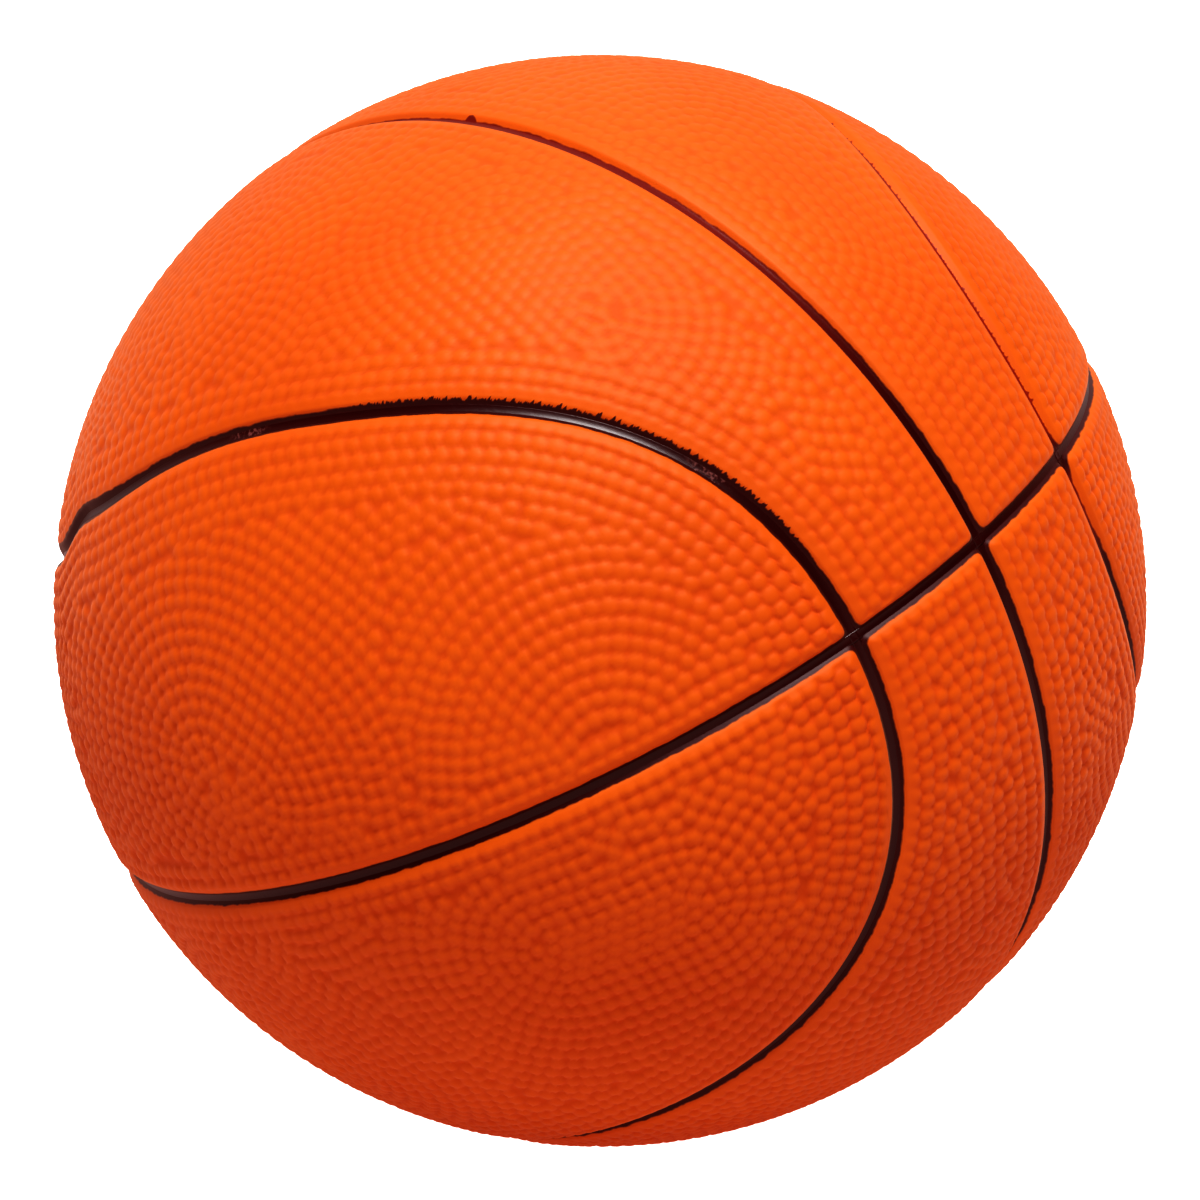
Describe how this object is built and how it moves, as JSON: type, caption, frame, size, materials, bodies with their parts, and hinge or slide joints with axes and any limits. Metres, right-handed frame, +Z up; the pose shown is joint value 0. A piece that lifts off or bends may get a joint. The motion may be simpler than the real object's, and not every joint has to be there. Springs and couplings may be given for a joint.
{
  "type": "basketball",
  "caption": "Round moulded rubber basketball with a pebbled cover, narrow black channels between its panels, and a flush inflation valve.",
  "frame": {"origin": "the centre of the ball", "axes": "+Z up, through the ball's centre and its lowest point; -Y is the side with the long rib channel in front, and the valve is on the +Y side"},
  "size_m": [0.2398, 0.2396, 0.2396],
  "materials": {
    "cover": "satin",
    "channel_paint": "satin",
    "valve_rubber": "matte"
  },
  "bodies": {
    "root": {"ball": "cover", "valve": "valve_rubber"}
  },
  "joints": []
}
